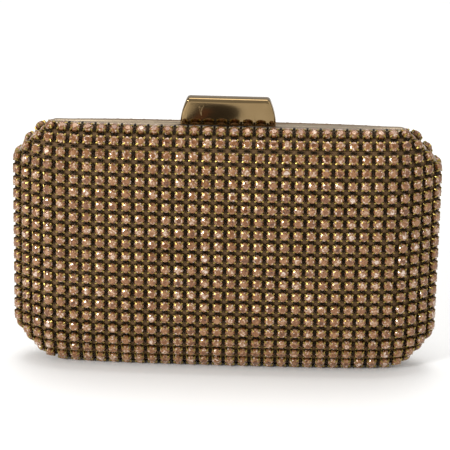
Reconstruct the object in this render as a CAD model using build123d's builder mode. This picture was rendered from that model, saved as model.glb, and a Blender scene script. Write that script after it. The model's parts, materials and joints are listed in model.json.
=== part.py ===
from build123d import *
import os

# An evening box bag: two shallow shells, each covered with a mesh of crystals,
# set on two slim metal frames that are hinged along the base and latched on top.
# Millimetres. X runs across the bag, Y runs through it (front is -Y), Z is up.
# The two frames meet on the plane Y = 0 and the bag stands on Z = 0.

# ---- driving dimensions --------------------------------------------------------
BODY_HALF_WIDTH = 85.0          # to the tops of the crystals
BODY_HEIGHT = 101.9             # to the tops of the crystals
BODY_HALF_DEPTH = 17.5          # crown of one face to the meeting plane
MID_Z = BODY_HEIGHT / 2

MESH_THICKNESS = 2.2            # crystals in their cups
CLOTH_THICKNESS = 0.4
SHELL_THICKNESS = 1.2
BOARD_THICKNESS = 0.8
LINING_THICKNESS = 0.5
FRAME_DEPTH = 3.0               # one frame, front to back
MEETING_GAP = 0.15              # each frame stops this far short of Y = 0
MESH_SETBACK = 0.5              # the mesh stops this far short of its frame

FRAME_HALF_WIDTH = 82.6
FRAME_BOTTOM_Z = 4.45           # the base rail is raised to leave a hinge groove
FRAME_TOP_Z = 100.45
RAIL_WIDTH = 2.8

HINGE_AXIS_Z = 2.2
HINGE_CENTRE_X = 45.0
KNUCKLE_RADIUS = 1.4
KNUCKLE_LENGTH = 8.0
KNUCKLE_GAP = 0.3
HINGE_PIN_RADIUS = 0.6
RUNNING_CLEARANCE = 0.05
LEAF_THICKNESS = 0.7
LEAF_UNDERSIDE_Z = FRAME_BOTTOM_Z - LEAF_THICKNESS
RIVET_RADIUS = 0.6
RIVET_DEPTH = 1.6               # how far a rivet runs into its rail

CLASP_AXIS_Y = 0.9
CLASP_AXIS_Z = 102.65
CLASP_PIN_RADIUS = 0.55
CLASP_BOTTOM_Z = 100.8
CLASP_TOP_Z = 111.7
CLASP_WALL = 0.8
CLASP_HALF_DEPTH = 2.85
LUG_X = 6.0                     # inner face of each bracket lug
LUG_THICKNESS = 1.0
WEB_X = 8.0                     # inner face of each web inside the cap
WEB_THICKNESS = 1.0
FOOT_DEPTH = 0.5                # plates sunk into the top rails

# One half shell as level sections: share of the depth from crown to mouth,
# half width, half height, the cut corner's width and height, and how squarely
# the wall faces sideways (0 on the crown, 1 on an upright wall) at the ends
# and along the top and base.
SECTIONS = [
    (0.00, 40.0, 22.0, 12.0, 9.0, 0.0, 0.0),
    (0.06, 54.5, 34.8, 12.0, 12.0, 0.1, 0.1),
    (0.19, 69.5, 42.2, 13.0, 13.0, 0.35, 0.4),
    (0.38, 75.4, 47.2, 13.0, 13.0, 0.5, 0.6),
    (0.58, 79.9, 50.3, 13.5, 13.0, 0.65, 0.9),
    (0.78, 83.0, 51.05, 14.0, 13.6, 0.8, 1.0),
    (1.00, 85.0, 51.05, 14.5, 13.6, 0.9, 1.0),
]

os.makedirs("parts", exist_ok=True)


def save(part, name):
    """Label a finished piece and write it as one STEP file."""
    part.label = name
    export_step(part, f"parts/{name}.step")


def octagon(half_x, half_y, cut_x, cut_y, centre_y=0.0):
    """Add a rectangle with cut corners to the current sketch."""
    top = centre_y + half_y
    base = centre_y - half_y
    Polygon(
        (half_x, base + cut_y),
        (half_x, top - cut_y),
        (half_x - cut_x, top),
        (-half_x + cut_x, top),
        (-half_x, top - cut_y),
        (-half_x, base + cut_y),
        (-half_x + cut_x, base),
        (half_x - cut_x, base),
        align=None,
    )


def across(y):
    """A plane square to Y: its own x is +X and its own y is +Z."""
    return Plane(origin=(0, y, 0), x_dir=(1, 0, 0), z_dir=(0, -1, 0))


def block(x_span, y_span, z_span):
    """A plain block between the given limits."""
    with BuildPart() as solid:
        with BuildSketch(Plane.XY.offset(z_span[0])):
            with Locations((sum(x_span) / 2, sum(y_span) / 2)):
                Rectangle(x_span[1] - x_span[0], abs(y_span[1] - y_span[0]))
        extrude(amount=z_span[1] - z_span[0])
    return solid.part


def dome(side, inset, mouth):
    """One half's solid dome, inset from the crystal tops, down to its mouth.

    side is -1 for the front half and +1 for the back half; mouth is how far
    the dome's open edge stands from the meeting plane.
    """
    depth = BODY_HALF_DEPTH - inset - mouth
    with BuildPart() as solid:
        for share, half_x, half_z, cut_x, cut_z, face_x, face_z in SECTIONS:
            with BuildSketch(across(side * (BODY_HALF_DEPTH - inset - share * depth))):
                octagon(
                    half_x - inset * face_x,
                    half_z - inset * face_z,
                    cut_x,
                    cut_z,
                    MID_Z,
                )
        loft(ruled=True)
    return solid.part


# ---- layer stack of each half: crystal mesh, cloth, shell, board, lining ---------
MESH_MOUTH = FRAME_DEPTH + MESH_SETBACK
CLOTH_INSET = MESH_THICKNESS
SHELL_INSET = CLOTH_INSET + CLOTH_THICKNESS
BOARD_INSET = SHELL_INSET + SHELL_THICKNESS
LINING_INSET = BOARD_INSET + BOARD_THICKNESS
CAVITY_INSET = LINING_INSET + LINING_THICKNESS


# The walls are drawn a little too tall and cut level here, so the bag stands flat.
LEVEL_SPACE = block(
    (-BODY_HALF_WIDTH, BODY_HALF_WIDTH),
    (-BODY_HALF_DEPTH, BODY_HALF_DEPTH),
    (0.0, BODY_HEIGHT),
)


def skin(side, outer_inset, inner_inset, mouth):
    """One layer of a half: the dome at one inset less the dome at a deeper one."""
    with BuildPart() as layer:
        add(dome(side, outer_inset, mouth))
        add(dome(side, inner_inset, mouth), mode=Mode.SUBTRACT)
        add(LEVEL_SPACE, mode=Mode.INTERSECT)
    return layer.part


for half, side in (("front", -1), ("back", 1)):
    save(skin(side, 0.0, CLOTH_INSET, MESH_MOUTH), f"{half}_crystal_mesh")
    save(skin(side, CLOTH_INSET, SHELL_INSET, FRAME_DEPTH), f"{half}_backing_cloth")
    save(skin(side, SHELL_INSET, BOARD_INSET, FRAME_DEPTH), f"{half}_shell")
    save(skin(side, BOARD_INSET, LINING_INSET, FRAME_DEPTH), f"{half}_lining_board")
    save(skin(side, LINING_INSET, CAVITY_INSET, FRAME_DEPTH), f"{half}_lining")


# ---- slip pocket: a flat satin panel on the back lining -------------------------
POCKET_HALF_WIDTH = 36.0
POCKET_LOW_Z = 24.0
POCKET_HEIGHT = 42.0
POCKET_THICKNESS = 0.6
POCKET_FACE_Y = 11.0

with BuildPart() as back_pocket:
    with BuildSketch(across(POCKET_FACE_Y + POCKET_THICKNESS)):
        with Locations((0, POCKET_LOW_Z + POCKET_HEIGHT / 2)):
            RectangleRounded(2 * POCKET_HALF_WIDTH, POCKET_HEIGHT, 5.0)
    extrude(amount=POCKET_THICKNESS)
save(back_pocket.part, "back_pocket")


# ---- frames --------------------------------------------------------------------
FRAME_MID_Z = (FRAME_TOP_Z + FRAME_BOTTOM_Z) / 2
FRAME_HALF_HEIGHT = (FRAME_TOP_Z - FRAME_BOTTOM_Z) / 2
FRAME_CUT_X = 14.0
FRAME_CUT_Z = 12.5
FRAME_CORNER_RADIUS = 3.0
HINGE_RIVETS_X = (-10.0, 0.0, 10.0)
RIVET_Y = 1.9                   # rivet centres, from the meeting plane
FOOT_HALF_LENGTH = 7.5
FOOT_NEAR_Y = 0.45
FOOT_FAR_Y = 2.6
FOOT_RIVET_X = 4.6
FOOT_RIVET_Y = 1.9


def round_bars(spots, start_z, length):
    """Round bars at the given x, y spots, upwards from start_z."""
    with BuildPart() as bars:
        with BuildSketch(Plane.XY.offset(start_z)):
            with Locations(*spots):
                Circle(RIVET_RADIUS)
        extrude(amount=length)
    return bars.part


def cross_bar(radius, start_x, length, centre_y, centre_z):
    """A round bar along X."""
    with BuildPart() as bar:
        with BuildSketch(Plane.YZ.offset(start_x)):
            with Locations((centre_y, centre_z)):
                Circle(radius)
        extrude(amount=length)
    return bar.part


def hinge_rivet_spots(side):
    """Where the hinge rivets of one half sit: three in each of its two leaves."""
    return [
        (end * HINGE_CENTRE_X + x, side * RIVET_Y)
        for end in (-1, 1)
        for x in HINGE_RIVETS_X
    ]


def foot_rivet_spots(side):
    """Where a top plate's two rivets sit."""
    return [(x, side * FOOT_RIVET_Y) for x in (-FOOT_RIVET_X, FOOT_RIVET_X)]


def foot_block(side, low_z, high_z):
    """The low plate sunk into a top rail, or the recess that takes it."""
    return block(
        (-FOOT_HALF_LENGTH, FOOT_HALF_LENGTH),
        (side * FOOT_NEAR_Y, side * FOOT_FAR_Y),
        (low_z, high_z),
    )


FOOT_LOW_Z = FRAME_TOP_Z - FOOT_DEPTH

for half, side in (("front", -1), ("back", 1)):
    far_plane = across(side * FRAME_DEPTH)
    ring_depth = side * (FRAME_DEPTH - MEETING_GAP)
    with BuildPart() as frame_ring:
        with BuildSketch(far_plane):
            octagon(
                FRAME_HALF_WIDTH, FRAME_HALF_HEIGHT, FRAME_CUT_X, FRAME_CUT_Z, FRAME_MID_Z
            )
        extrude(amount=ring_depth)
        fillet(frame_ring.edges().filter_by(Axis.Y), FRAME_CORNER_RADIUS)
        with BuildSketch(far_plane):
            octagon(
                FRAME_HALF_WIDTH - RAIL_WIDTH,
                FRAME_HALF_HEIGHT - RAIL_WIDTH,
                FRAME_CUT_X - 1.0,
                FRAME_CUT_Z - 1.0,
                FRAME_MID_Z,
            )
        extrude(amount=ring_depth, mode=Mode.SUBTRACT)
        add(foot_block(side, FOOT_LOW_Z, FRAME_TOP_Z + 1.0), mode=Mode.SUBTRACT)
        add(
            round_bars(foot_rivet_spots(side), FOOT_LOW_Z - RIVET_DEPTH, RIVET_DEPTH),
            mode=Mode.SUBTRACT,
        )
        add(
            round_bars(hinge_rivet_spots(side), FRAME_BOTTOM_Z, RIVET_DEPTH),
            mode=Mode.SUBTRACT,
        )
    save(frame_ring.part, f"{half}_frame")


# ---- hinges: two three-knuckle hinges in the groove under the base rails --------
HINGE_HALF_LENGTH = 1.5 * KNUCKLE_LENGTH + KNUCKLE_GAP
LEAF_INNER_Y = 0.2
LEAF_OUTER_Y = 2.9
NECK_INNER_Y = 0.2
NECK_OUTER_Y = 1.2


def knuckle_spans(side):
    """Start and end x of each knuckle: the back leaf has two, the front one."""
    if side < 0:
        return [(-KNUCKLE_LENGTH / 2, KNUCKLE_LENGTH / 2)]
    inner = KNUCKLE_LENGTH / 2 + KNUCKLE_GAP
    return [(-HINGE_HALF_LENGTH, -inner), (inner, HINGE_HALF_LENGTH)]


def hinge_leaf(side, centre_x):
    """A leaf plate under its rail, necks, and knuckles around the hinge axis."""
    bore = HINGE_PIN_RADIUS
    if side < 0:
        bore = HINGE_PIN_RADIUS + RUNNING_CLEARANCE
    start_x = centre_x - HINGE_HALF_LENGTH
    rivet_spots = [(centre_x + x, side * RIVET_Y) for x in HINGE_RIVETS_X]
    with BuildPart() as leaf:
        add(
            block(
                (start_x, start_x + 2 * HINGE_HALF_LENGTH),
                (side * LEAF_INNER_Y, side * LEAF_OUTER_Y),
                (LEAF_UNDERSIDE_Z, FRAME_BOTTOM_Z),
            )
        )
        for near_x, far_x in knuckle_spans(side):
            add(
                cross_bar(
                    KNUCKLE_RADIUS, centre_x + near_x, far_x - near_x, 0.0, HINGE_AXIS_Z
                )
            )
            add(
                block(
                    (centre_x + near_x, centre_x + far_x),
                    (side * NECK_INNER_Y, side * NECK_OUTER_Y),
                    (HINGE_AXIS_Z, LEAF_UNDERSIDE_Z),
                )
            )
        add(
            cross_bar(bore, start_x, 2 * HINGE_HALF_LENGTH, 0.0, HINGE_AXIS_Z),
            mode=Mode.SUBTRACT,
        )
        add(round_bars(rivet_spots, LEAF_UNDERSIDE_Z, LEAF_THICKNESS), mode=Mode.SUBTRACT)
    return leaf.part


for end, centre_x in (("left", -HINGE_CENTRE_X), ("right", HINGE_CENTRE_X)):
    save(hinge_leaf(-1, centre_x), f"front_hinge_leaf_{end}")
    save(hinge_leaf(1, centre_x), f"back_hinge_leaf_{end}")
    with BuildPart() as hinge_pin:
        add(
            cross_bar(
                HINGE_PIN_RADIUS,
                centre_x - HINGE_HALF_LENGTH,
                2 * HINGE_HALF_LENGTH,
                0.0,
                HINGE_AXIS_Z,
            )
        )
    save(hinge_pin.part, f"hinge_pin_{end}")

for half, side in (("front", -1), ("back", 1)):
    with BuildPart() as hinge_rivets:
        add(
            round_bars(
                hinge_rivet_spots(side), LEAF_UNDERSIDE_Z, LEAF_THICKNESS + RIVET_DEPTH
            )
        )
    save(hinge_rivets.part, f"{half}_hinge_rivets")


# ---- clasp bracket: a foot on the back rail with two lugs for the clasp pin ------
LUG_RADIUS = 1.0
LUG_REAR_Y = 1.5                # clear of the cap's rear wall when it tilts

with BuildPart() as clasp_bracket:
    add(foot_block(1, FOOT_LOW_Z, FRAME_TOP_Z))
    for lug_x in (-LUG_X - LUG_THICKNESS, LUG_X):
        add(cross_bar(LUG_RADIUS, lug_x, LUG_THICKNESS, CLASP_AXIS_Y, CLASP_AXIS_Z))
        add(
            block(
                (lug_x, lug_x + LUG_THICKNESS),
                (FOOT_NEAR_Y, LUG_REAR_Y),
                (FOOT_LOW_Z, CLASP_AXIS_Z),
            )
        )
    add(
        cross_bar(
            CLASP_PIN_RADIUS + RUNNING_CLEARANCE,
            -LUG_X - LUG_THICKNESS,
            2 * (LUG_X + LUG_THICKNESS),
            CLASP_AXIS_Y,
            CLASP_AXIS_Z,
        ),
        mode=Mode.SUBTRACT,
    )
    add(round_bars(foot_rivet_spots(1), FOOT_LOW_Z, FOOT_DEPTH), mode=Mode.SUBTRACT)
save(clasp_bracket.part, "clasp_bracket")


# ---- keeper: a foot on the front rail with an upright tab ------------------------
KEEPER_HALF_LENGTH = 4.0
KEEPER_NEAR_Y = 0.6
KEEPER_FAR_Y = 1.2
KEEPER_TOP_Z = 101.45

with BuildPart() as keeper:
    add(foot_block(-1, FOOT_LOW_Z, FRAME_TOP_Z))
    add(
        block(
            (-KEEPER_HALF_LENGTH, KEEPER_HALF_LENGTH),
            (-KEEPER_FAR_Y, -KEEPER_NEAR_Y),
            (FOOT_LOW_Z, KEEPER_TOP_Z),
        )
    )
    add(round_bars(foot_rivet_spots(-1), FOOT_LOW_Z, FOOT_DEPTH), mode=Mode.SUBTRACT)
save(keeper.part, "keeper")

for name, side in (("keeper_rivets", -1), ("bracket_rivets", 1)):
    with BuildPart() as foot_rivets:
        add(
            round_bars(
                foot_rivet_spots(side), FOOT_LOW_Z - RIVET_DEPTH, RIVET_DEPTH + FOOT_DEPTH
            )
        )
    save(foot_rivets.part, name)


# ---- clasp cap: a hollow trapezoid block that tilts back on its pin --------------
CAP_SECTIONS = [                # height, half width, half depth
    (CLASP_BOTTOM_Z, 18.7, CLASP_HALF_DEPTH),
    (105.6, 18.2, CLASP_HALF_DEPTH),
    (111.1, 16.3, CLASP_HALF_DEPTH),
    (CLASP_TOP_Z, 15.6, CLASP_HALF_DEPTH - 0.5),
]
CAP_EDGE_CUT = 1.2
CAVITY_SECTIONS = [             # height, half width
    (CLASP_BOTTOM_Z - 0.1, 17.6),
    (110.4, 15.4),
]
HEEL_Z = 101.35                # the cap's rear edge is lifted so that it can tilt
HEEL_START_Y = 0.5
WEB_LOW_Z = 101.75
WEB_TOP_Z = 105.5

with BuildPart() as clasp_cap:
    for height, half_width, half_depth in CAP_SECTIONS:
        with BuildSketch(Plane.XY.offset(height)):
            octagon(half_width, half_depth, CAP_EDGE_CUT, CAP_EDGE_CUT)
    loft(ruled=True)
    for height, half_width in CAVITY_SECTIONS:
        with BuildSketch(Plane.XY.offset(height)):
            Rectangle(2 * half_width, 2 * (CLASP_HALF_DEPTH - CLASP_WALL))
    loft(ruled=True, mode=Mode.SUBTRACT)
    for web_x in (-WEB_X - WEB_THICKNESS, WEB_X):
        add(
            block(
                (web_x, web_x + WEB_THICKNESS),
                (-CLASP_HALF_DEPTH + CLASP_WALL / 2, CLASP_HALF_DEPTH - CLASP_WALL / 2),
                (WEB_LOW_Z, WEB_TOP_Z),
            )
        )
    add(
        block(
            (-BODY_HALF_WIDTH, BODY_HALF_WIDTH),
            (HEEL_START_Y, FRAME_DEPTH),
            (FRAME_TOP_Z, HEEL_Z),
        ),
        mode=Mode.SUBTRACT,
    )
    add(
        cross_bar(
            CLASP_PIN_RADIUS,
            -WEB_X - WEB_THICKNESS,
            2 * (WEB_X + WEB_THICKNESS),
            CLASP_AXIS_Y,
            CLASP_AXIS_Z,
        ),
        mode=Mode.SUBTRACT,
    )
save(clasp_cap.part, "clasp_cap")

with BuildPart() as clasp_pin:
    add(
        cross_bar(
            CLASP_PIN_RADIUS,
            -WEB_X - WEB_THICKNESS,
            2 * (WEB_X + WEB_THICKNESS),
            CLASP_AXIS_Y,
            CLASP_AXIS_Z,
        )
    )
save(clasp_pin.part, "clasp_pin")


# ---- clasp hook: a plate behind the cap's front wall, its tip ahead of the keeper -
HOOK_HALF_LENGTH = 4.5
HOOK_THICKNESS = 0.55
HOOK_TIP_Z = 100.95
HOOK_TOP_Z = 106.5
HOOK_FRONT_Y = -(CLASP_HALF_DEPTH - CLASP_WALL)

with BuildPart() as clasp_hook:
    add(
        block(
            (-HOOK_HALF_LENGTH, HOOK_HALF_LENGTH),
            (HOOK_FRONT_Y, HOOK_FRONT_Y + HOOK_THICKNESS),
            (HOOK_TIP_Z, HOOK_TOP_Z),
        )
    )
save(clasp_hook.part, "clasp_hook")


# ---- clasp spring: a torsion coil on the pin between the lugs ---------------------
SPRING_WIRE_RADIUS = 0.14
SPRING_COIL_RADIUS = 0.8
SPRING_TURNS = 6
SPRING_PITCH = 1.2
SPRING_START_X = -SPRING_TURNS * SPRING_PITCH / 2

with BuildPart() as clasp_spring:
    with BuildLine():
        coil = Helix(
            SPRING_PITCH,
            SPRING_TURNS * SPRING_PITCH,
            SPRING_COIL_RADIUS,
            center=(SPRING_START_X, CLASP_AXIS_Y, CLASP_AXIS_Z),
            direction=(1, 0, 0),
        )
    with BuildSketch(Plane(origin=coil @ 0, z_dir=coil % 0)):
        Circle(SPRING_WIRE_RADIUS)
    sweep(path=coil, is_frenet=True)
save(clasp_spring.part, "clasp_spring")
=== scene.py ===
# %% [markdown]
# # An evening box bag covered in crystal mesh
#
# The bag is two shallow shells hinged along the base. Each shell wears a cloth and, over the
# cloth, a mesh of small crystals in metal cups. The CAD frame already holds the hinges, the
# metal frames and the clasp's workings at their real size. This lesson adds what CAD leaves
# plain: about fourteen hundred crystals, their cups, claws and links, the cloths, the linings,
# the polished clasp, and a finish for every piece.

# %% Load the frame
import json
import math
import random

import bmesh
import bpy
import numpy as np
from mathutils import Matrix, Vector, noise


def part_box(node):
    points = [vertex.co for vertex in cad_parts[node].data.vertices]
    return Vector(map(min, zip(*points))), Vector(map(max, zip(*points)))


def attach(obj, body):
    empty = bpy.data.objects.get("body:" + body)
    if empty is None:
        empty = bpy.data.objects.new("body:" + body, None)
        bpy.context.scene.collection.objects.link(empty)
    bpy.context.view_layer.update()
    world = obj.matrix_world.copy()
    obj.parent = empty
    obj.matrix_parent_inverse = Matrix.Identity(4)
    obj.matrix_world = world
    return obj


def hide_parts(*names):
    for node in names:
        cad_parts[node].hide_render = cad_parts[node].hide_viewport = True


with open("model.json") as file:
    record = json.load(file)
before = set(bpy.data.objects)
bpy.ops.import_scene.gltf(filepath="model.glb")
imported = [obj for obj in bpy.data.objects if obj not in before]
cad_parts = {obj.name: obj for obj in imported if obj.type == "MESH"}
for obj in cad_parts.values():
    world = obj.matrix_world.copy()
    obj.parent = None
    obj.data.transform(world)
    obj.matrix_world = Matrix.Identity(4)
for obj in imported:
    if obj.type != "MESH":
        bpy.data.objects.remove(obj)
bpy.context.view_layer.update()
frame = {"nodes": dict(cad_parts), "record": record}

MM = 0.001

# %% [markdown]
# ## The view
#
# The bag is seen from the front and a little above, through a long lens, so the near and far
# edges keep almost the same size. The camera is placed by how far it stands from the middle of
# the front face and by three small turns, which is how a tripod head is set.

# %% The camera
HALF_DEPTH = 17.5 * MM
MESH_MIDDLE = 52.8 * MM         # height of the mesh's middle line
FACE_MIDDLE = Vector((0.0, -HALF_DEPTH, MESH_MIDDLE))
CAMERA_DISTANCE = 980.0 * MM
CAMERA_RISE = 11.4 * MM
CAMERA_SIDE = 0.1 * MM
LENS_MM = 200.0
TILT, ROLL, PAN = (math.radians(a) for a in (20.2, 1.5, -1.1))


def add_camera():
    """A camera that looks along +Y before its three turns."""
    turn = (Matrix.Rotation(PAN, 3, "Z") @ Matrix.Rotation(ROLL, 3, "Y")
            @ Matrix.Rotation(TILT, 3, "X")).transposed()
    camera = bpy.data.objects.new("camera", bpy.data.cameras.new("camera"))
    camera.data.lens = LENS_MM
    camera.data.sensor_width = 36.0
    looks_along_y = Matrix(((1, 0, 0), (0, 0, -1), (0, 1, 0)))
    place = (turn @ looks_along_y).to_4x4()
    place.translation = FACE_MIDDLE + turn @ Vector((CAMERA_SIDE, -CAMERA_DISTANCE, CAMERA_RISE))
    camera.matrix_world = place
    bpy.context.collection.objects.link(camera)
    bpy.context.scene.camera = camera
    print("camera at", [round(x, 3) for x in place.translation])


add_camera()

# %% [markdown]
# ## Shader helpers
#
# Every finish here is a short node tree. These helpers add a node, join two sockets and start a
# material, so that each finish below reads as a list of what it is made of.


# %% Node helpers
def new_material(name):
    """A material with one Principled shader: returns the material, its tree and the shader."""
    material = bpy.data.materials.new(name)
    material.use_nodes = True
    tree = material.node_tree
    return material, tree, tree.nodes["Principled BSDF"]


def add_node(tree, kind, settings=None, **inputs):
    """Add a node, set its settings, and set or join its inputs by name."""
    made = tree.nodes.new(kind)
    for key, value in (settings or {}).items():
        setattr(made, key, value)
    for key, value in inputs.items():
        socket = made.inputs[key.replace("_", " ")]
        if isinstance(value, bpy.types.NodeSocket):
            tree.links.new(value, socket)
        else:
            socket.default_value = value
    return made


def ramp(tree, factor, *stops):
    """A colour ramp: stops are (position, colour)."""
    made = add_node(tree, "ShaderNodeValToRGB", Fac=factor)
    elements = made.color_ramp.elements
    while len(elements) < len(stops):
        elements.new(0.5)
    for element, (position, colour) in zip(elements, stops):
        element.position = position
        element.color = (*colour, 1.0)
    return made.outputs["Color"]


def span(tree, value, low, high):
    """Stretch a 0 to 1 value onto another span."""
    made = add_node(tree, "ShaderNodeMapRange", Value=value)
    made.inputs["To Min"].default_value = low
    made.inputs["To Max"].default_value = high
    return made.outputs["Result"]


def blend_colours(tree, how, factor, first, second):
    """Mix two colours with a blend mode."""
    made = tree.nodes.new("ShaderNodeMix")
    made.data_type = "RGBA"
    made.blend_type = how
    for index, value in ((0, factor), (6, first), (7, second)):
        if isinstance(value, bpy.types.NodeSocket):
            tree.links.new(value, made.inputs[index])
        else:
            made.inputs[index].default_value = value
    return made.outputs[2]


def object_point(tree):
    """The point on the piece, in metres, as it was modelled."""
    return tree.nodes.new("ShaderNodeTexCoord").outputs["Object"]


def bump(tree, shader, height, depth, strength=1.0):
    """Raise the surface by up to depth metres."""
    made = add_node(tree, "ShaderNodeBump", Height=height, Strength=strength, Distance=depth)
    tree.links.new(made.outputs["Normal"], shader.inputs["Normal"])


def constants(shader, **values):
    """Set plain values on the shader's own sockets."""
    for key, value in values.items():
        shader.inputs[key.replace("_", " ")].default_value = value


# %% [markdown]
# ## Metals
#
# The frame is plated in a pale champagne gold with a satin brushed look. The clasp has the same
# plating, but polished like a mirror and marked by fine scratches from handling. The claws that
# hold the crystals are a yellower gold, and the links between the cups are almost black. Small
# changes of tone and roughness keep each from looking like one flat colour.


# %% Metal finishes
def metal(name, light, dark, rough, grain_size, streak=(1.0, 1.0, 1.0), relief=0.01 * MM):
    """A metal whose tone and roughness wander, with a fine grain that may run one way."""
    material, tree, shader = new_material(name)
    point = object_point(tree)
    stretched = add_node(tree, "ShaderNodeMapping", Vector=point, Scale=streak)
    cloud = add_node(tree, "ShaderNodeTexNoise", Vector=point, Scale=90.0, Detail=4.0)
    grain = add_node(tree, "ShaderNodeTexNoise", Vector=stretched.outputs["Vector"],
                     Scale=1.0 / grain_size, Detail=6.0, Roughness=0.6)
    tone = ramp(tree, cloud.outputs["Fac"], (0.32, dark), (0.62, light))
    tree.links.new(tone, shader.inputs["Base Color"])
    tree.links.new(span(tree, grain.outputs["Fac"], rough * 0.75, rough * 1.3),
                   shader.inputs["Roughness"])
    bump(tree, shader, grain.outputs["Fac"], relief, 0.5)
    constants(shader, Metallic=1.0)
    return material


PALE_GOLD = metal("pale_gold_satin", (0.42, 0.335, 0.235), (0.36, 0.28, 0.195), 0.40,
                  0.6 * MM, streak=(0.05, 1.0, 1.0))
CLAW_GOLD = metal("claw_gold", (0.34, 0.25, 0.072), (0.21, 0.148, 0.038), 0.34, 0.4 * MM)
# The cups' dark bronze is painted shade: the shadow under the stones is put into their colour.
SHADED_CUP_METAL = metal("cup_metal_painted_shade", (0.26, 0.17, 0.07), (0.08, 0.05, 0.02), 0.42, 0.5 * MM)
LINK_BRONZE = metal("link_bronze", (0.030, 0.023, 0.015), (0.010, 0.008, 0.006), 0.38,
                    0.4 * MM)
HINGE_BRASS = metal("hinge_brass", (0.66, 0.50, 0.24), (0.44, 0.31, 0.12), 0.32, 0.5 * MM)
STEEL = metal("steel_wire", (0.62, 0.61, 0.58), (0.42, 0.40, 0.37), 0.28, 0.4 * MM,
              streak=(0.15, 1.0, 1.0))


def polished_gold():
    """Mirror gold with a soft haze and a few long scratches."""
    material, tree, shader = new_material("polished_gold")
    point = object_point(tree)
    haze = add_node(tree, "ShaderNodeTexNoise", Vector=point, Scale=160.0, Detail=5.0)
    long_marks = add_node(tree, "ShaderNodeMapping", Vector=point, Scale=(1.0, 1.0, 0.16),
                          Rotation=(0.0, 0.25, 0.0))
    scratch = add_node(tree, "ShaderNodeTexNoise", Vector=long_marks.outputs["Vector"],
                       Scale=620.0, Detail=3.0, Distortion=0.8)
    marks = ramp(tree, scratch.outputs["Fac"], (0.66, (0.0, 0.0, 0.0)), (0.72, (1.0, 1.0, 1.0)))
    tone = ramp(tree, haze.outputs["Fac"],
                (0.30, (0.230, 0.157, 0.074)), (0.70, (0.262, 0.181, 0.089)))
    tree.links.new(tone, shader.inputs["Base Color"])
    tree.links.new(span(tree, marks, 0.07, 0.30), shader.inputs["Roughness"])
    bump(tree, shader, haze.outputs["Fac"], 0.02 * MM, 0.25)
    constants(shader, Metallic=1.0)
    return material


POLISHED_GOLD = polished_gold()
print("metals:", [material.name for material in bpy.data.materials])

# %% [markdown]
# ## Crystal
#
# A foil-backed crystal throws back light from facets deep inside it, so each small patch of it
# looks peach, brown, rose or almost white, and the patches don't follow the outer facets alone.
# Ray tracing that inside fourteen hundred stones is slow and noisy. Instead every facet carries
# a random number, "spark", which picks its tone, and a fine cell pattern breaks it up further.
# So the tones are partly the stone's own champagne colour and partly painted reflection: the
# light thrown back from inside, up to a near-white sparkle, is painted into the colour.


# %% Crystal finish
CELL_SHARE = 0.45               # how much of a facet's tone comes from the cell pattern
SPARK_SHARE = 0.62              # and how much from its own random number


def crystal():
    """Champagne crystal: facet tones from the spark attribute, partly painted inner reflection,
    under a glossy skin.
    """
    material, tree, shader = new_material("champagne_crystal")
    spark = add_node(tree, "ShaderNodeAttribute", {"attribute_name": "spark"})
    cells = add_node(tree, "ShaderNodeTexVoronoi", Vector=object_point(tree), Scale=1500.0)
    grey = add_node(tree, "ShaderNodeRGBToBW", Color=cells.outputs["Color"])
    mixed = add_node(tree, "ShaderNodeMath", {"operation": "MULTIPLY_ADD"})
    tree.links.new(grey.outputs["Val"], mixed.inputs[0])
    mixed.inputs[1].default_value = CELL_SHARE
    scaled = add_node(tree, "ShaderNodeMath", {"operation": "MULTIPLY"})
    tree.links.new(spark.outputs["Fac"], scaled.inputs[0])
    scaled.inputs[1].default_value = SPARK_SHARE
    tree.links.new(scaled.outputs["Value"], mixed.inputs[2])
    # painted reflection: these tones, up to a near-white sparkle, stand in for light from inside
    # the stone over its own champagne colour
    tone = ramp(tree, mixed.outputs["Value"],
                (0.10, (0.055, 0.020, 0.005)), (0.28, (0.130, 0.052, 0.016)),
                (0.50, (0.205, 0.091, 0.032)), (0.72, (0.295, 0.148, 0.062)),
                (0.92, (0.600, 0.480, 0.380)))
    tint = ramp(tree, spark.outputs["Fac"],
                (0.0, (1.0, 0.80, 0.52)), (0.5, (1.0, 0.93, 0.80)), (1.0, (0.92, 0.93, 1.0)))
    tree.links.new(blend_colours(tree, "MULTIPLY", 1.0, tone, tint), shader.inputs["Base Color"])
    constants(shader, Metallic=0.15, Roughness=0.18, IOR=1.5, Coat_Weight=0.35,
              Coat_Roughness=0.03)
    return material


CRYSTAL = crystal()

# %% [markdown]
# ## Cloths and board
#
# The cloth under the mesh is a close olive-brown weave, and the lining is champagne satin. Both
# weaves are drawn on a UV map that is simply the flat cloth in metres, so threads stay the same
# size however the cloth is bent. The shell is black moulded plastic and the stiffener is board.


# %% Cloth finishes
WAVE_WIDTH = 2 * 3.1416         # turns a thread's width into the wave pattern's own scale


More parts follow.
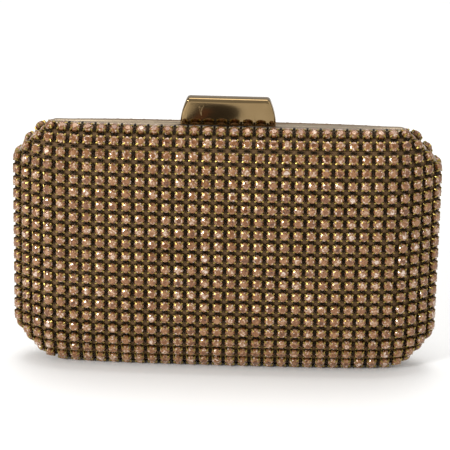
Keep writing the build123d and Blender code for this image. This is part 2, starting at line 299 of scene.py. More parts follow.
def woven(name, warp_tone, weft_tone, thread, sheen, rough, float_over=1.0):
    """A weave on the flat UV map: two sets of thread ridges and slow changes of tone."""
    material, tree, shader = new_material(name)
    flat = tree.nodes.new("ShaderNodeUVMap").outputs["UV"]
    bands = []
    for direction, size in (("X", thread), ("Y", thread * float_over)):
        wave = add_node(tree, "ShaderNodeTexWave", {"bands_direction": direction}, Vector=flat,
                        Scale=1.0 / (size * WAVE_WIDTH), Distortion=0.6, Detail=1.0)
        wave.inputs["Detail Scale"].default_value = 1.5
        bands.append(wave.outputs["Fac"])
    patches = add_node(tree, "ShaderNodeTexNoise", Vector=object_point(tree), Scale=120.0,
                       Detail=5.0)
    ridge = add_node(tree, "ShaderNodeMath", {"operation": "MULTIPLY"})
    tree.links.new(bands[0], ridge.inputs[0])
    tree.links.new(bands[1], ridge.inputs[1])
    threads = ramp(tree, ridge.outputs["Value"], (0.0, weft_tone), (0.6, warp_tone))
    uneven = ramp(tree, patches.outputs["Fac"], (0.3, (0.80, 0.80, 0.80)), (0.7, (1.0, 1.0, 1.0)))
    tree.links.new(blend_colours(tree, "MULTIPLY", 1.0, threads, uneven),
                   shader.inputs["Base Color"])
    bump(tree, shader, ridge.outputs["Value"], 0.06 * MM, 0.7)
    constants(shader, Roughness=rough, Sheen_Weight=sheen, Sheen_Roughness=0.4)
    return material


OLIVE_CLOTH = woven("olive_cloth", (0.175, 0.093, 0.030), (0.092, 0.047, 0.0135), 0.25 * MM,
                    0.05, 0.80)
SATIN = woven("champagne_satin", (0.55, 0.41, 0.24), (0.40, 0.28, 0.15), 0.16 * MM, 0.35, 0.38,
              float_over=5.0)


def grained(name, light, dark, rough, grain_size, relief):
    """Plastic or board: a mottled tone with a fine raised grain."""
    material, tree, shader = new_material(name)
    point = object_point(tree)
    cloud = add_node(tree, "ShaderNodeTexNoise", Vector=point, Scale=70.0, Detail=6.0)
    grain = add_node(tree, "ShaderNodeTexVoronoi", Vector=point, Scale=1.0 / grain_size)
    tree.links.new(ramp(tree, cloud.outputs["Fac"], (0.35, dark), (0.65, light)),
                   shader.inputs["Base Color"])
    tree.links.new(span(tree, cloud.outputs["Fac"], rough * 0.85, rough * 1.1),
                   shader.inputs["Roughness"])
    bump(tree, shader, grain.outputs["Distance"], relief, 0.5)
    return material


BLACK_PLASTIC = grained("black_plastic", (0.030, 0.028, 0.025), (0.016, 0.015, 0.013), 0.45,
                        0.7 * MM, 0.03 * MM)
GREY_BOARD = grained("stiffener_board", (0.36, 0.28, 0.20), (0.27, 0.20, 0.14), 0.85,
                     0.5 * MM, 0.05 * MM)

# %% [markdown]
# ## Finishes for the CAD pieces that stay
#
# The metal frames, hinges, rivets and the clasp's workings already have their true shapes, so
# they only get a finish.

# %% Paint the CAD pieces
FINISH_OF_SLOT = {
    "crystal": CRYSTAL,
    "olive_cloth": OLIVE_CLOTH,
    "moulded_shell": BLACK_PLASTIC,
    "board": GREY_BOARD,
    "satin": SATIN,
    "pale_gold": PALE_GOLD,
    "polished_gold": POLISHED_GOLD,
    "brass": HINGE_BRASS,
    "steel": STEEL,
}


def paint_cad_pieces():
    """Give every CAD node the finish of its slot."""
    slot_of = {part["node"]: part["material_slot"] for part in frame["record"]["subparts"]}
    for name, node in frame["nodes"].items():
        for material_slot in node.material_slots:
            material_slot.material = FINISH_OF_SLOT[slot_of[name]]
    print("painted", len(frame["nodes"]), "CAD nodes")


paint_cad_pieces()

# %% [markdown]
# ## Adding a piece
#
# A finished bmesh becomes an object at the origin. It rides on one body of the frame and may
# stand in for CAD nodes.


# %% Add a piece
def add_piece(name, bm, materials, body, slot, stands_for=(), smooth=True):
    """Turn a bmesh into a piece that rides on a body."""
    mesh = bpy.data.meshes.new(name)
    bm.to_mesh(mesh)
    bm.free()
    for material in materials:
        mesh.materials.append(material)
    if smooth:
        mesh.shade_smooth()
    piece = bpy.data.objects.new(name, mesh)
    bpy.context.collection.objects.link(piece)
    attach(piece, body)
    if stands_for:
        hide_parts(*stands_for)
    mesh.calc_loop_triangles()
    print(name, len(mesh.loop_triangles), "triangles on", body)
    return piece


# %% [markdown]
# ## The pillow shape of a half
#
# Laying a mesh over a shell is like laying graph paper over a pillow: along each line the paper
# keeps its length, and the surface only decides how steeply the paper leans. So the shape is
# stored as slope curves: one from the middle to the ends, one up to the top and one down to the
# base. At the top the mesh is tucked down beside the frame, so that curve turns past upright.
# Walking along a curve gives how far out and how far back each step gets, and the two steps back
# are added. The cut corners are one more bend, along a line across each corner. The top corners
# bend down a little sooner than the base ones.

# %% Slope curves and the walk along them
ALONG = [(0, 0), (36, 1), (44, 2.5), (57, 4.5), (62.4, 7), (67.6, 13.5), (72.8, 26.5), (78, 34),
         (83.2, 42.5), (86, 50), (90, 62), (104, 72)]
UPWARD = [(0, 0), (20.7, 0.3), (28, 1.5), (33.6, 8), (38.8, 16), (44, 36), (47, 47), (49.2, 57),
          (51.6, 84), (54, 102), (57, 108), (70, 110)]
DOWNWARD = [(0, 0), (26, 0.5), (31.1, 3.5), (36.4, 11.5), (41.6, 25), (46.8, 30), (51.2, 33),
            (52.8, 84), (70, 87)]
MESH_PLANE = 1.7                # the cups' middle, this far under the crystals' tops
TOP_CORNER_BEND_AT = 117.8      # where a corner bends down: the sum of both flat distances
BASE_CORNER_BEND_AT = 120.6
CORNER_BEND_RADIUS = 2.0
CORNER_WALL_SLOPE = math.radians(85)


def walk(curve, step=0.05):
    """Distances walked, and how far out and how far back each has got, in millimetres."""
    walked = np.arange(0.0, curve[-1][0] + step, step)
    slope = np.radians(np.interp(walked, *zip(*curve)))
    out = np.concatenate(([0.0], np.cumsum(np.cos(slope[:-1]) * step)))
    back = np.concatenate(([0.0], np.cumsum(np.sin(slope[:-1]) * step)))
    return walked, out, back


WALK_ALONG = walk(ALONG)
WALK_UPWARD = walk(UPWARD)
WALK_DOWNWARD = walk(DOWNWARD)


def plain_point(a, b):
    """Out, up or down, and back at flat distances a and b, before the corner bend."""
    along, away = WALK_ALONG, WALK_UPWARD if b > 0 else WALK_DOWNWARD
    x = np.interp(a, along[0], along[1])
    z = np.interp(abs(b), away[0], away[1])
    back = np.interp(a, along[0], along[2]) + np.interp(abs(b), away[0], away[2])
    return Vector((x, math.copysign(z, b), back))


def bent_point(a, b):
    """The same with the corner bend: past the bend line the cloth turns down to a wall."""
    bend_at = TOP_CORNER_BEND_AT if b > 0 else BASE_CORNER_BEND_AT
    past = (a + abs(b) - bend_at) / math.sqrt(2)
    if past <= 0:
        return plain_point(a, b)
    way = math.copysign(1.0, b)
    a -= past / math.sqrt(2)
    b -= way * past / math.sqrt(2)
    foot = plain_point(a, b)
    lean = plain_point(a + 0.05, b + way * 0.05) - plain_point(a - 0.05, b - way * 0.05)
    outward = Vector((lean.x, lean.y, 0.0))
    start = math.atan2(lean.z, outward.length)
    outward.normalize()
    turned = min(start + past / CORNER_BEND_RADIUS, max(start, CORNER_WALL_SLOPE))
    straight = past - (turned - start) * CORNER_BEND_RADIUS
    out = CORNER_BEND_RADIUS * (math.sin(turned) - math.sin(start)) + straight * math.cos(turned)
    back = CORNER_BEND_RADIUS * (math.cos(start) - math.cos(turned)) + straight * math.sin(turned)
    return foot + outward * out + Vector((0.0, 0.0, back))


# %% [markdown]
# Deeper layers, such as the shell and the lining, nest inside the mesh plane. Each is the same
# surface drawn in a little towards the middle, so the layers never cross.

# %% A point on any layer
FRAME_FACE = 14.5               # how far back the shells meet their frames
REACH_X = 83.2
REACH_Z = 49.6
MID_Z = MESH_MIDDLE / MM


def layer_point(a, b, side, inset=MESH_PLANE):
    """The place, in metres, of flat point (a, b) on the layer at that inset.

    side is -1 on the front half and +1 on the back half.
    """
    point = bent_point(abs(a), b)
    deeper = inset - MESH_PLANE
    x = math.copysign(point.x, a) * (1 - deeper / REACH_X)
    z = point.y * (1 - deeper / REACH_Z)
    back = inset + point.z * (FRAME_FACE - inset) / (FRAME_FACE - MESH_PLANE)
    return Vector((x, side * (HALF_DEPTH / MM - back), MID_Z + z)) * MM


def seat(a, b, side):
    """A matrix that stands a small part on the mesh plane at (a, b): its z points outwards."""
    reach = 0.3
    u = layer_point(a + reach, b, side) - layer_point(a - reach, b, side)
    v = layer_point(a, b + reach, side) - layer_point(a, b - reach, side)
    u = (u * -side).normalized()
    outward = u.cross(v).normalized()
    v = outward.cross(u)
    place = Matrix((u, v, outward)).transposed().to_4x4()
    place.translation = layer_point(a, b, side)
    return place


print("mesh plane reaches", [round(x, 1) for x in layer_point(85.5, 0, -1) / MM],
      [round(x, 1) for x in layer_point(0, 52.6, -1) / MM])

# %% [markdown]
# ## Layers cut from flat sheets
#
# Each layer starts as a flat grid. Its four corners are cut off flat with a bisecting plane, the
# grid is laid on the pillow shape point by point, and a straight cut at the frame trims the
# edge. Solidify then gives it its real thickness. The flat position is kept as the UV map.

# %% Make a layer
GRID_STEP = 1.25
SHEET_HALF = (97.5, 67.5)
CORNER_CUT = 136.0


def everything(bm):
    """All of a bmesh's geometry, for operators that want it in one list."""
    return bm.verts[:] + bm.edges[:] + bm.faces[:]


def flat_sheet():
    """A flat grid in millimetres with its corners cut off."""
    bm = bmesh.new()
    columns, rows = (int(2 * half / GRID_STEP) for half in SHEET_HALF)
    bmesh.ops.create_grid(bm, x_segments=columns, y_segments=rows, size=1.0,
                          matrix=Matrix.Diagonal((*SHEET_HALF, 1.0, 1.0)))
    for x in (-1, 1):
        for y in (-1, 1):
            direction = Vector((x, y, 0)).normalized()
            bmesh.ops.bisect_plane(bm, geom=everything(bm), plane_no=direction,
                                   plane_co=direction * CORNER_CUT / math.sqrt(2),
                                   clear_outer=True)
    return bm


def layer(side, inset, thickness, wrinkle=0.0):
    """A closed layer of one half, its outer face at inset, and the area of that face as laid."""
    bm = flat_sheet()
    uv = bm.loops.layers.uv.new("flat")
    for face in bm.faces:
        for loop in face.loops:
            loop[uv].uv = (loop.vert.co.x * MM, loop.vert.co.y * MM)
    for vert in bm.verts:
        a, b = vert.co.x, vert.co.y
        vert.co = layer_point(a, b, side, inset)
        if wrinkle:
            crease = noise.fractal(Vector((a * 0.02, b * 0.05, side * 7.0)), 0.8, 2.0, 4)
            vert.co.y += side * crease * wrinkle
    face_y = side * (HALF_DEPTH - FRAME_FACE * MM)
    bmesh.ops.bisect_plane(bm, geom=everything(bm), plane_co=(0, face_y, 0),
                           plane_no=(0, -side, 0), clear_outer=True)
    area = sum(face.calc_area() for face in bm.faces)
    bmesh.ops.recalc_face_normals(bm, faces=bm.faces[:])
    middle = min(bm.faces, key=lambda face: (face.calc_center_median().xz
                                             - Vector((0, MID_Z * MM))).length)
    if middle.normal.y * side < 0:
        bmesh.ops.reverse_faces(bm, faces=bm.faces[:])
    bmesh.ops.solidify(bm, geom=bm.faces[:], thickness=thickness)
    bmesh.ops.recalc_face_normals(bm, faces=bm.faces[:])
    return bm, area


# %% [markdown]
# The stack is the same on both halves: olive cloth, black shell, board and satin lining. The two
# cloths are stretched over what is under them. Their flat blank is estimated a few millimetres
# larger than the cloth drawn here. The area printed for them is the laid cloth's own, so it
# describes the cloth but doesn't test it against a flat cut.

# %% Build the layer stack
LAYERS = [                      # name, inset, thickness, finish, slot, cloth, wrinkle
    ("backing_cloth", 2.2, 0.38, OLIVE_CLOTH, "olive_cloth", True, 0.0),
    ("shell", 2.65, 1.0, BLACK_PLASTIC, "moulded_shell", False, 0.0),
    ("lining_board", 3.85, 0.7, GREY_BOARD, "board", False, 0.0),
    ("lining", 4.75, 0.35, SATIN, "satin", True, 0.22 * MM),
]
HALVES = (("front", -1, "front_half"), ("back", 1, "back_half"))


def build_layers():
    """Both halves' cloths, shells, boards and linings."""
    for half, side, body in HALVES:
        for name, inset, thickness, finish, slot, is_cloth, wrinkle in LAYERS:
            bm, area = layer(side, inset, thickness * MM, wrinkle)
            piece = add_piece(f"{half}_{name}_piece", bm, [finish], body, slot,
                              [f"{half}_{name}"])
            if is_cloth:
                print("  cloth area", round(area * 1e4, 1), "square cm")


build_layers()

# %% [markdown]
# ## One crystal
#
# A round stone is cut with a flat table, a ring of slanting facets, and a thin edge called the
# girdle. Rings of points at the right heights are enough: the convex hull of them draws every
# facet, as a cutter's wheel would. Under the girdle it only needs a plain cone, because the cup
# hides it.

# %% Cut one crystal
STONE_RADIUS = 1.92 * MM
STONE_TOP = MESH_PLANE * MM


def unit_mesh(name, bm):
    """Keep a small shape as a mesh that can be stamped many times."""
    mesh = bpy.data.meshes.new(name)
    bm.to_mesh(mesh)
    bm.free()
    return mesh


def cut_crystal():
    """A faceted stone whose table is at the top of the mesh."""
    bm = bmesh.new()
    rings = [                   # height under the table, radius, points, first angle
        (0.00, 0.48, 8, 0.0),               # the table's edge
        (0.20, 0.74, 8, math.pi / 8),
        (0.48, 0.92, 8, 0.0),
        (0.80, 1.00, 16, 0.0),
        (1.75, 0.97, 16, 0.0),
        (2.60, 0.45, 8, 0.0),
    ]
    for drop, radius, points, angle in rings:
        place = Matrix.Translation((0, 0, STONE_TOP - drop * MM)) @ Matrix.Rotation(angle, 4, "Z")
        bmesh.ops.create_circle(bm, segments=points, radius=radius * STONE_RADIUS, matrix=place)
    bmesh.ops.delete(bm, geom=bm.edges[:], context="EDGES_FACES")
    bmesh.ops.convex_hull(bm, input=bm.verts[:])
    bmesh.ops.dissolve_limit(bm, angle_limit=math.radians(1), verts=bm.verts[:],
                             edges=bm.edges[:])
    bmesh.ops.recalc_face_normals(bm, faces=bm.faces[:])
    return unit_mesh("crystal_unit", bm)


CRYSTAL_UNIT = cut_crystal()
print("one crystal has", len(CRYSTAL_UNIT.polygons), "facets")

# %% [markdown]
# ## One cup and its four claws
#
# A pressed square cup holds each stone, and a claw at every corner is bent over the girdle. The
# claw is four small rings joined by bridges: it climbs the corner, leans in over the stone and
# narrows to a tip. The tip's flat end faces a little outwards, so one lamp makes one claw of
# every stone flash.

# %% Press one cup
CUP_HALF = 1.72 * MM
CUP_LOW = -0.45 * MM
CUP_RIM = 0.05 * MM


def press_cup():
    """A square cup with rounded corners and a hollow seat for the stone."""
    bm = bmesh.new()
    bmesh.ops.create_cube(bm, size=1.0)
    bmesh.ops.scale(bm, vec=(2 * CUP_HALF, 2 * CUP_HALF, CUP_RIM - CUP_LOW), verts=bm.verts[:])
    bmesh.ops.translate(bm, vec=(0, 0, (CUP_RIM + CUP_LOW) / 2), verts=bm.verts[:])
    uprights = [edge for edge in bm.edges
                if abs(edge.verts[0].co.z - edge.verts[1].co.z) > 0.1 * MM]
    bmesh.ops.bevel(bm, geom=uprights, offset=0.55 * MM, segments=1, profile=0.5,
                    affect="EDGES", material=-1)
    top = max(bm.faces, key=lambda face: face.calc_center_median().z)
    bmesh.ops.inset_individual(bm, faces=[top], thickness=0.18 * MM, depth=-0.25 * MM)
    return unit_mesh("cup_unit", bm)


def turned(place, angle):
    """The same place, turned about its own outward axis."""
    return place @ Matrix.Rotation(angle, 4, "Z")


def bend_claw():
    """One claw in the corner between +x and +y."""
    bm = bmesh.new()
    corner = Vector((1, 1, 0)).normalized()
    steps = [                   # distance from the stone's axis, height, radius, lean outwards
        (2.22, -0.30, 0.34, 0),
        (2.36, 0.40, 0.40, 0),
        (2.14, 0.95, 0.42, -20),
        (1.50, 1.42, 0.30, 30),
    ]
    rings = []
    for out, height, radius, degrees in steps:
        lean = Matrix.Rotation(math.radians(degrees), 4, Vector((-1, 1, 0)))
        place = Matrix.Translation(corner * out * MM + Vector((0, 0, height * MM))) @ lean
        place = turned(place, math.radians(15))     # one flat of the ring faces the corner
        ring = bmesh.ops.create_circle(bm, segments=6, radius=radius * MM, matrix=place)
        rings.append([edge for edge in bm.edges
                      if all(vert in ring["verts"] for vert in edge.verts)])
    for lower, upper in zip(rings, rings[1:]):
        bmesh.ops.bridge_loops(bm, edges=lower + upper)
    bmesh.ops.holes_fill(bm, edges=bm.edges[:], sides=6)
    bmesh.ops.recalc_face_normals(bm, faces=bm.faces[:])
    return unit_mesh("claw_unit", bm)


CUP_UNIT = press_cup()
CLAW_UNIT = bend_claw()
print("one cup has", len(CUP_UNIT.polygons), "faces and one claw", len(CLAW_UNIT.polygons))

# %% [markdown]
# ## One link
#
# Between two cups sits an oblong ring. Spinning a small square around an axis makes a round
# ring, and stretching it one way makes it oblong with heavier ends, as the real links are.

# %% Spin one link
LINK_HALF_WIDTH = 0.50 * MM
LINK_STRETCH = 2.7


def spin_link():
    """An oblong ring, long in y, just above the cloth."""
    bm = bmesh.new()
    inner, low, high = 0.22 * MM, 0.0 * MM, 0.45 * MM
    corners = [(inner, low), (LINK_HALF_WIDTH, low), (LINK_HALF_WIDTH, high), (inner, high)]
    verts = [bm.verts.new((x, 0, z)) for x, z in corners]
    edges = [bm.edges.new((verts[i], verts[(i + 1) % 4])) for i in range(4)]
    bmesh.ops.spin(bm, geom=verts + edges, cent=(0, 0, 0), axis=(0, 0, 1), dvec=(0, 0, 0),
                   angle=2 * math.pi, steps=10, use_merge=True)
    bmesh.ops.scale(bm, vec=(1, LINK_STRETCH, 1), verts=bm.verts[:])
    bmesh.ops.recalc_face_normals(bm, faces=bm.faces[:])
    return unit_mesh("link_unit", bm)


LINK_UNIT = spin_link()
print("one link has", len(LINK_UNIT.polygons), "faces")

# %% [markdown]
# ## Setting the mesh
#
# The mesh is a square lattice with a pitch a little over five millimetres: thirty-four columns
# and twenty rows on the face, one more row down the top and base walls, and three stones on
# each cut corner's wall. The top wall's row and the top corners' stones are pressed in, so the
# frame's edge shows above them. The back half's mesh stops short of the top, so that nothing
# stands above the frame behind the clasp.

# %% Lay out the lattice
PITCH = 5.18
COLUMNS = 17                    # each side of the middle
ROWS = 10                       # above and below the middle
CORNER_SUM = 23                 # column + row number of the stones on the corner walls
TOP_WALL_AT = 52.9              # where the top wall's row sits
WALL_SINK = 1.25 * MM           # how deep that row and the top corners' stones are pressed in


def from_middle(column, row):
    """How many cells lie between this one and the middle, across and up or down."""
    return (column if column >= 0 else -column - 1), (row if row >= 0 else -row - 1)


def is_pressed_in(column, row):
    """Whether a cell is in the top wall's row or on a top corner's wall."""
    return row == ROWS or (row > 0 and sum(from_middle(column, row)) == CORNER_SUM)


def lattice(side):
    """Column and row numbers of every crystal on one half."""
    cells = []
    for column in range(-COLUMNS, COLUMNS):
        for row in range(-ROWS - 1, ROWS + 1):
            across, up = from_middle(column, row)
            on_wall = up == ROWS and across <= CORNER_SUM - ROWS - 1
            on_face = up < ROWS and across + up <= CORNER_SUM
            hidden_top = side > 0 and (row >= ROWS - 1 or is_pressed_in(column, row))
            if (on_face or on_wall) and not hidden_top:
                cells.append((column, row))
    return cells


def flat_place(column, row):
    """The middle of a cell on the flat sheet, in millimetres."""
    if row == ROWS:
        return (column + 0.5) * PITCH, TOP_WALL_AT
    return (column + 0.5) * PITCH, (row + 0.5) * PITCH


def link_place(cell, neighbour):
    """Halfway between two cells."""
    return (Vector(flat_place(*cell)) + Vector(flat_place(*neighbour))) / 2


def stamp(unit, places):
    """Copy a small mesh to every place and join the copies."""
    bm = bmesh.new()
    for place in places:
        copy = unit.copy()
        copy.transform(place)
        bm.from_mesh(copy)
        bpy.data.meshes.remove(copy)
    return bm


# %% Set the stones, cups, claws and links
STONE_TIP = 0.05                # radians that a stone may lie crooked in its cup


def set_mesh(half, side, body, chance):
    """All of one half's crystals, settings and links."""
    cells = lattice(side)
    seats = {cell: seat(*flat_place(*cell), side) for cell in cells}
    for cell in cells:
        if is_pressed_in(*cell):
            seats[cell] = seats[cell] @ Matrix.Translation((0, 0, -WALL_SINK))
    stones = []
    for cell in cells:
        wobble = Matrix.Rotation(chance.uniform(-STONE_TIP, STONE_TIP), 4, "X")
        stones.append(turned(seats[cell], chance.uniform(0, math.tau)) @ wobble)
    bm = stamp(CRYSTAL_UNIT, stones)
    spark = bm.faces.layers.float.new("spark")
    for face in bm.faces:
        face[spark] = chance.random()
    add_piece(f"{half}_crystals", bm, [CRYSTAL], body, "crystal", [f"{half}_crystal_mesh"],
              smooth=False)

    bm = stamp(CUP_UNIT, seats.values())
    # the cups carry painted shade: their dark colour stands for the shadow under the stones
    add_piece(f"{half}_cups", bm, [SHADED_CUP_METAL], body, "brass", smooth=False)

    claws = [turned(place, quarter * math.pi / 2)
             for place in seats.values() for quarter in range(4)]
    bm = stamp(CLAW_UNIT, claws)
    add_piece(f"{half}_claws", bm, [CLAW_GOLD], body, "brass", smooth=False)

    links = []
    for column, row in cells:
        beside, above = (column + 1, row), (column, row + 1)
        if beside in seats:
            links.append(seat(*link_place((column, row), beside), side))
        if above in seats:
            links.append(turned(seat(*link_place((column, row), above), side), math.pi / 2))
    bm = stamp(LINK_UNIT, links)
    add_piece(f"{half}_links", bm, [LINK_BRONZE], body, "brass")


for half, side, body in HALVES:
    set_mesh(half, side, body, random.Random(41 + side))

# %% [markdown]
# ## The clasp
#
# The clasp is a hollow cast block that leans in towards its top, with softly bevelled edges and
# faces that bulge by a fraction of a millimetre, which is what bends the reflections in it. A
# cube is bevelled, hollowed from below and cut into bands, which are then drawn in towards the
# top.

# %% Cast the clasp cap
CAP_BOX = [Vector(corner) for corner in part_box("clasp_cap")]
CAP_LOW, CAP_HIGH = CAP_BOX[0].z, CAP_BOX[1].z
CAP_HALF_WIDTH, CAP_HALF_DEPTH = CAP_BOX[1].x, CAP_BOX[1].y
CAP_LEAN = [(0.0, 1.0), (0.2, 0.998), (0.45, 0.972), (0.7, 0.928), (0.9, 0.882), (1.0, 0.855)]
CAP_WALL = 0.8 * MM
CAP_ROOF = 1.3 * MM
CAP_CHAMFER = 1.1 * MM
CAP_BULGE = 0.20 * MM
HEEL_LIFT = 0.55 * MM           # the rear edge is higher, so the cap can tilt back
CAP_LEVELS = 12                 # level bands up the block
CAP_BANDS = 8                   # upright bands on each side of its middle


def cast_cap():
    """The clasp's hollow outer block."""
    height = CAP_HIGH - CAP_LOW
    bm = bmesh.new()
    bmesh.ops.create_cube(bm, size=2.0)
    bmesh.ops.scale(bm, vec=(CAP_HALF_WIDTH, CAP_HALF_DEPTH, height / 2), verts=bm.verts[:])
    bmesh.ops.translate(bm, vec=(0, 0, CAP_LOW + height / 2), verts=bm.verts[:])
    outer_edges = [edge for edge in bm.edges if max(v.co.z for v in edge.verts) > CAP_LOW + MM]
    bmesh.ops.bevel(bm, geom=outer_edges, offset=CAP_CHAMFER, segments=3, profile=0.5,
                    affect="EDGES", material=-1, clamp_overlap=True)
    base = min(bm.faces, key=lambda face: face.calc_center_median().z)
    bmesh.ops.inset_individual(bm, faces=[base], thickness=CAP_WALL, depth=0.0)
    bmesh.ops.inset_individual(bm, faces=[base], thickness=0.01 * MM,
                               depth=-(height - CAP_ROOF))
    for cut in range(1, CAP_LEVELS):
        level = CAP_LOW + cut / CAP_LEVELS * height
        bmesh.ops.bisect_plane(bm, geom=everything(bm), plane_co=(0, 0, level),
                               plane_no=(0, 0, 1))
    for cut in range(1 - CAP_BANDS, CAP_BANDS):
        bmesh.ops.bisect_plane(bm, geom=everything(bm), plane_no=(1, 0, 0),
                               plane_co=(cut / CAP_BANDS * CAP_HALF_WIDTH, 0, 0))
    for vert in bm.verts:
        share = (vert.co.z - CAP_LOW) / height
        vert.co.x *= np.interp(share, *zip(*CAP_LEAN))
        sideways = vert.co.x / CAP_HALF_WIDTH
        swell = CAP_BULGE * (1 - sideways * sideways) * math.sin(math.pi * min(share, 1.0))
        vert.co.y = (vert.co.y / CAP_HALF_DEPTH) * (CAP_HALF_DEPTH - CAP_BULGE + swell)
        if share < 0.02 and vert.co.y > 0.5 * MM:
            vert.co.z += HEEL_LIFT
    bmesh.ops.recalc_face_normals(bm, faces=bm.faces[:])
    return add_piece("clasp_cap_piece", bm, [POLISHED_GOLD], "clasp", "polished_gold",
                     ["clasp_cap"])


cast_cap()

# %% [markdown]
# ## The frames
#
# Each frame is a flat bar bent round the mouth. The sharp CAD bar is copied and its long edges
# are rounded, which is what catches the thin line of light along the top.


# %% Round the frame edges
def soften_frame(half, body):
    """The CAD frame with its sharp edges rounded."""
    bm = bmesh.new()
    bm.from_mesh(frame["nodes"][f"{half}_frame"].data)
    bmesh.ops.remove_doubles(bm, verts=bm.verts[:], dist=0.001 * MM)
    bmesh.ops.dissolve_limit(bm, angle_limit=math.radians(1), verts=bm.verts[:],
                             edges=bm.edges[:])
    sharp = [edge for edge in bm.edges if edge.is_manifold and edge.calc_length() > 1.2 * MM
             and edge.calc_face_angle() > math.radians(60)
             and abs((edge.verts[0].co - edge.verts[1].co).y) < 0.1 * MM]
    bmesh.ops.bevel(bm, geom=sharp, offset=0.3 * MM, segments=2, profile=0.5, affect="EDGES",
                    material=-1, clamp_overlap=True)
    return add_piece(f"{half}_frame_piece", bm, [PALE_GOLD], body, "pale_gold",
                     [f"{half}_frame"])


for half, side, body in HALVES:
    soften_frame(half, body)

# %% [markdown]
# ## The slip pocket
#
# Inside the back half a flat satin pocket is stitched on along three sides. It is a panel of
# doubled satin, slightly slack at the top so that a card slides in. A running stitch holds it:
# short raised stitches just inside its edge.

# %% Sew the pocket
POCKET_BOX = [Vector(corner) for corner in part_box("back_pocket")]
POCKET_HALF = POCKET_BOX[1].x
POCKET_LOW, POCKET_HIGH = POCKET_BOX[0].z, POCKET_BOX[1].z
POCKET_Y = POCKET_BOX[0].y
POCKET_THICK = 0.5 * MM


def pocket_point(x, z):
    """A place on the pocket's face: it bellies a little and is slack at the top."""
    out = 1 - (x / POCKET_HALF) ** 2
    up = (z - POCKET_LOW) / (POCKET_HIGH - POCKET_LOW)
    belly = 0.5 * MM * out * math.sin(math.pi * 0.5 * up)
    ripple = noise.noise(Vector((x * 60, z * 60, 3.0))) * 0.12 * MM
    return Vector((x, POCKET_Y - belly + ripple * up, z))


def sew_pocket():
    """The panel and its stitches."""
    bm = bmesh.new()
    uv = bm.loops.layers.uv.new("flat")
    height = POCKET_HIGH - POCKET_LOW
    bmesh.ops.create_grid(bm, x_segments=48, y_segments=28, size=0.5)
    bmesh.ops.scale(bm, vec=(2 * POCKET_HALF, height, 1), verts=bm.verts[:])
    for x in (-1, 1):
        corner = Vector((x * (POCKET_HALF - 1.5 * MM), -height / 2 + 1.5 * MM, 0))
        bmesh.ops.bisect_plane(bm, geom=everything(bm), plane_co=corner,
                               plane_no=Vector((x, -1, 0)), clear_outer=True)
    for face in bm.faces:
        for loop in face.loops:
            loop[uv].uv = loop.vert.co.xy
    for vert in bm.verts:
        vert.co = pocket_point(vert.co.x, vert.co.y + POCKET_LOW + height / 2)
    area = sum(face.calc_area() for face in bm.faces)
    bmesh.ops.solidify(bm, geom=bm.faces[:], thickness=POCKET_THICK)
    bmesh.ops.recalc_face_normals(bm, faces=bm.faces[:])
    panel = add_piece("back_pocket_panel", bm, [SATIN], "back_half", "satin", ["back_pocket"])
    return panel, area


# %% Stitch the pocket down
STITCH_LENGTH = 1.5 * MM
STITCH_STEP = 2.4 * MM
STITCH_MARGIN = 1.6 * MM


def stitch_unit():
    """One raised stitch, a small bar with rounded ends, lying along x."""
    bm = bmesh.new()
    bmesh.ops.create_icosphere(bm, subdivisions=1, radius=0.16 * MM)
    bmesh.ops.scale(bm, vec=(STITCH_LENGTH / (0.32 * MM), 1, 1), verts=bm.verts[:])
    return unit_mesh("stitch_unit", bm)


def stitch_line(start, end):
    """Places for stitches along a straight line on the panel, from start to end."""
    run = Vector(end) - Vector(start)
    count = int(run.length / STITCH_STEP)
    slant = math.atan2(run.y, run.x)
    for number in range(count):
        spot = Vector(start) + run * ((number + 0.5) / count)
        place = pocket_point(spot.x, spot.y) + Vector((0, -0.02 * MM, 0))
        yield Matrix.Translation(place) @ Matrix.Rotation(-slant, 4, "Y")


def stitch_pocket():
    """Three lines of running stitch: down each side and along the base."""
    left, right = -POCKET_HALF + STITCH_MARGIN, POCKET_HALF - STITCH_MARGIN
    low, high = POCKET_LOW + STITCH_MARGIN, POCKET_HIGH - STITCH_MARGIN
    runs = [((left, high), (left, low)), ((left, low), (right, low)),
            ((right, low), (right, high))]
    places = [place for run in runs for place in stitch_line(*run)]
    bm = stamp(stitch_unit(), places)
    return add_piece("pocket_stitches", bm, [SATIN], "back_half", "satin")


panel, panel_area = sew_pocket()
stitches = stitch_pocket()

# %% [markdown]
# ## Floor, light and air
#
# The bag stands on a pale floor in a bright, even room, as for a shop picture. One small lamp to
# the upper left is the key: it is what lights a single claw on every stone. Soft lamps fill the
# right side and the top. Polished metal shows whatever stands before it, so two oval cards, seen
# only in reflections, lie on the floor where the clasp's face looks.

# %% Light the scene
BAG_MIDDLE = Vector((0.0, 0.0, 0.05))
scene = bpy.context.scene
scene.view_settings.view_transform = "Standard"


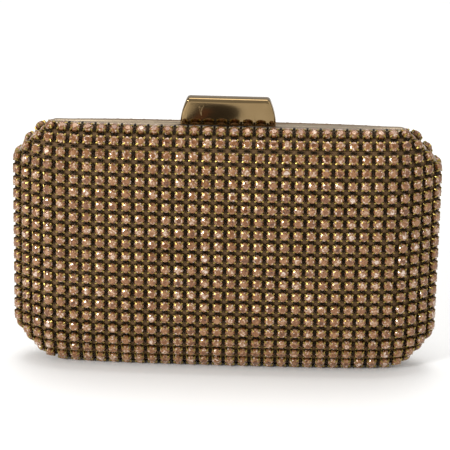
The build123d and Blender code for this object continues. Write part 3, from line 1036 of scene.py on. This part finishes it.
def add_floor():
    """A pale floor with a faint mottled tone."""
    bm = bmesh.new()
    bmesh.ops.create_grid(bm, x_segments=2, y_segments=2, size=3.0)
    mesh = bpy.data.meshes.new("floor")
    bm.to_mesh(mesh)
    bm.free()
    material, tree, shader = new_material("pale_floor")
    cloud = add_node(tree, "ShaderNodeTexNoise", Vector=object_point(tree), Scale=14.0)
    tree.links.new(ramp(tree, cloud.outputs["Fac"], (0.3, (0.90, 0.90, 0.90)),
                        (0.7, (0.92, 0.92, 0.915))), shader.inputs["Base Color"])
    constants(shader, Roughness=0.7)
    mesh.materials.append(material)
    floor = bpy.data.objects.new("floor", mesh)
    bpy.context.collection.objects.link(floor)


def add_lamp(name, place, size, watts):
    """A square lamp that faces the bag."""
    lamp = bpy.data.lights.new(name, "AREA")
    lamp.size = size
    lamp.energy = watts
    holder = bpy.data.objects.new(name, lamp)
    holder.location = place
    aim = BAG_MIDDLE - Vector(place)
    holder.rotation_euler = aim.to_track_quat("-Z", "Y").to_euler()
    bpy.context.collection.objects.link(holder)


def add_card(name, centre, radii, colour):
    """An oval card on the floor that only reflections can see."""
    bm = bmesh.new()
    bmesh.ops.create_circle(bm, cap_ends=True, segments=48, radius=1.0)
    bmesh.ops.scale(bm, vec=(*radii, 1), verts=bm.verts[:])
    bmesh.ops.translate(bm, vec=centre, verts=bm.verts[:])
    mesh = bpy.data.meshes.new(name)
    bm.to_mesh(mesh)
    bm.free()
    material, tree, shader = new_material(name)
    cloud = add_node(tree, "ShaderNodeTexNoise", Vector=object_point(tree), Scale=25.0)
    tree.links.new(ramp(tree, cloud.outputs["Fac"], (0.3, colour),
                        (0.8, tuple(2.0 * share for share in colour))),
                   shader.inputs["Base Color"])
    constants(shader, Roughness=0.9)
    mesh.materials.append(material)
    card = bpy.data.objects.new(name, mesh)
    card.visible_camera = False
    card.visible_diffuse = False
    card.visible_shadow = False
    bpy.context.collection.objects.link(card)


def add_room(strength):
    """An even, very slightly warm room."""
    world = bpy.data.worlds.new("room")
    world.use_nodes = True
    background = world.node_tree.nodes["Background"]
    background.inputs["Color"].default_value = (1.0, 0.99, 0.97, 1.0)
    background.inputs["Strength"].default_value = strength
    scene.world = world


add_floor()
add_room(0.62)
add_lamp("key", (-0.92, -0.94, 0.50), 0.26, 15.0)
add_lamp("right_fill", (0.9, -0.6, 0.5), 1.0, 3.0)
add_lamp("top", (0.0, 0.2, 1.2), 0.8, 8.0)
add_card("dark_card", (-0.0165, -0.33, 0.002), (0.0200, 0.175), (0.012, 0.008, 0.005))
add_card("brown_card", (-0.0255, -0.31, 0.003), (0.0045, 0.08), (0.10, 0.035, 0.016))
